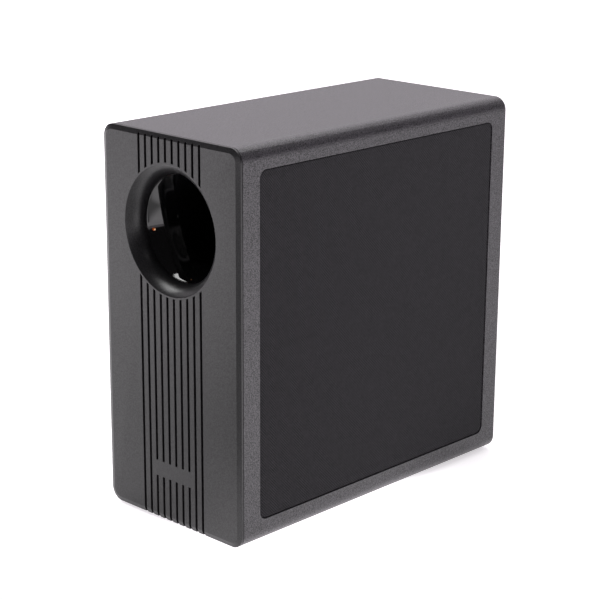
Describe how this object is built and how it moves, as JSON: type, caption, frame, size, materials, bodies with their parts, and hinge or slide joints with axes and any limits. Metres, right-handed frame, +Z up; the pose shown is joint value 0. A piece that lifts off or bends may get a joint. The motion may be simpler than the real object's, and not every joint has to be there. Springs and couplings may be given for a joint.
{
  "type": "subwoofer",
  "caption": "Slim upright active subwoofer: grooved front panel with a flared round port, side-firing driver behind a cloth grille, amplifier in the rear.",
  "frame": {"origin": "on the floor under the middle of the body, at the middle of the four feet", "axes": "+Z up, -Y towards the front panel with the port, +X towards the grille side"},
  "size_m": [0.203, 0.417, 0.42],
  "materials": {
    "cabinet_board": "fine textured coating on fibreboard",
    "raw_board": "uncoated fibreboard",
    "fascia_plastic": "satin moulded",
    "gloss_black": "high gloss moulded",
    "black_plastic": "fine spark texture",
    "control_plastic": "satin moulded",
    "lamp_lens": "clear amber",
    "circuit_board": "solder resist",
    "black_steel": "powder coated",
    "screw_steel": "black zinc",
    "plated_steel": "zinc plated",
    "ferrite": "sintered",
    "soft_rubber": "matt",
    "seal_foam": "closed cell",
    "cone_paper": "pressed pulp",
    "former_foil": "rolled foil",
    "copper_wire": "enamelled",
    "spider_cloth": "resin dipped",
    "wire_sleeve": "smooth",
    "grille_cloth": "open woven mesh",
    "wadding": "bonded fibre",
    "amp_steel": "powder coated",
    "bare_aluminium": "black anodised extrusion",
    "contact_brass": "plated",
    "capacitor_sleeve": "shrunk sleeve"
  },
  "bodies": {
    "cabinet": {"top_panel": "cabinet_board", "bottom_panel": "cabinet_board", "left_panel": "cabinet_board", "right_panel": "cabinet_board", "rear_panel": "cabinet_board", "front_board": "raw_board", "driver_baffle": "raw_board", "shelf_brace": "raw_board", "tube_saddle": "raw_board", "front_panel": "fascia_plastic", "port_horn": "gloss_black", "port_tube": "black_plastic", "port_inner_flare": "black_plastic", "status_led": "lamp_lens", "led_board": "circuit_board", "amp_board": "circuit_board", "fascia_screws": "screw_steel", "port_screws": "screw_steel", "driver_screws": "screw_steel", "amp_screws": "screw_steel", "foot_screws": "screw_steel", "driver_basket": "black_steel", "driver_gasket": "seal_foam", "amp_gasket": "seal_foam", "trim_ring": "soft_rubber", "surround": "soft_rubber", "spider": "spider_cloth", "top_plate": "plated_steel", "pole_yoke": "plated_steel", "magnet": "ferrite", "terminal_strip": "circuit_board", "tinsel_leads": "copper_wire", "speaker_wires": "wire_sleeve", "grille_grommets": "soft_rubber", "rubber_feet": "soft_rubber", "amp_plate": "amp_steel", "amp_housing": "plated_steel", "heatsink": "bare_aluminium", "board_standoffs": "contact_brass", "transformer": "plated_steel", "capacitors": "capacitor_sleeve", "mains_inlet": "control_plastic", "inlet_pins": "contact_brass", "rocker_bezel": "control_plastic", "control_pots": "plated_steel", "switch_bodies": "control_plastic", "line_sockets": "contact_brass", "damping_wadding": "wadding"},
    "cone_assembly": {"cone": "cone_paper", "dust_cap": "cone_paper", "voice_coil_former": "former_foil", "voice_coil": "copper_wire"},
    "grille": {"grille_frame": "black_plastic", "grille_cloth": "grille_cloth", "grille_pegs": "black_plastic"},
    "level_control": {"level_knob": "control_plastic"},
    "crossover_control": {"crossover_knob": "control_plastic"},
    "phase_control": {"phase_slider": "control_plastic"},
    "power_switch": {"power_rocker": "gloss_black"},
    "pairing_control": {"pairing_button": "control_plastic"}
  },
  "joints": [
    {"name": "cone_travel", "type": "slide", "parent": "cabinet", "child": "cone_assembly", "axis": [1, 0, 0], "range_m": [-0.007, 0.007], "stiffness_N_per_m": 2500, "deforming": ["surround", "spider", "tinsel_leads"]},
    {"name": "grille_pull", "type": "slide", "parent": "cabinet", "child": "grille", "axis": [1, 0, 0], "range_m": [0, 0.06]},
    {"name": "level_turn", "type": "hinge", "parent": "cabinet", "child": "level_control", "pos_m": [-0.032, 0.2, 0.24], "axis": [0, 1, 0], "range_deg": [-150, 150]},
    {"name": "crossover_turn", "type": "hinge", "parent": "cabinet", "child": "crossover_control", "pos_m": [0.032, 0.2, 0.24], "axis": [0, 1, 0], "range_deg": [-150, 150]},
    {"name": "phase_slide", "type": "slide", "parent": "cabinet", "child": "phase_control", "axis": [1, 0, 0], "range_m": [0, 0.004]},
    {"name": "power_rock", "type": "hinge", "parent": "cabinet", "child": "power_switch", "pos_m": [0.03, 0.192, 0.07], "axis": [1, 0, 0], "range_deg": [0, 20]},
    {"name": "pairing_press", "type": "slide", "parent": "cabinet", "child": "pairing_control", "axis": [0, -1, 0], "range_m": [0, 0.001], "stiffness_N_per_m": 500, "springref_m": -0.001}
  ]
}
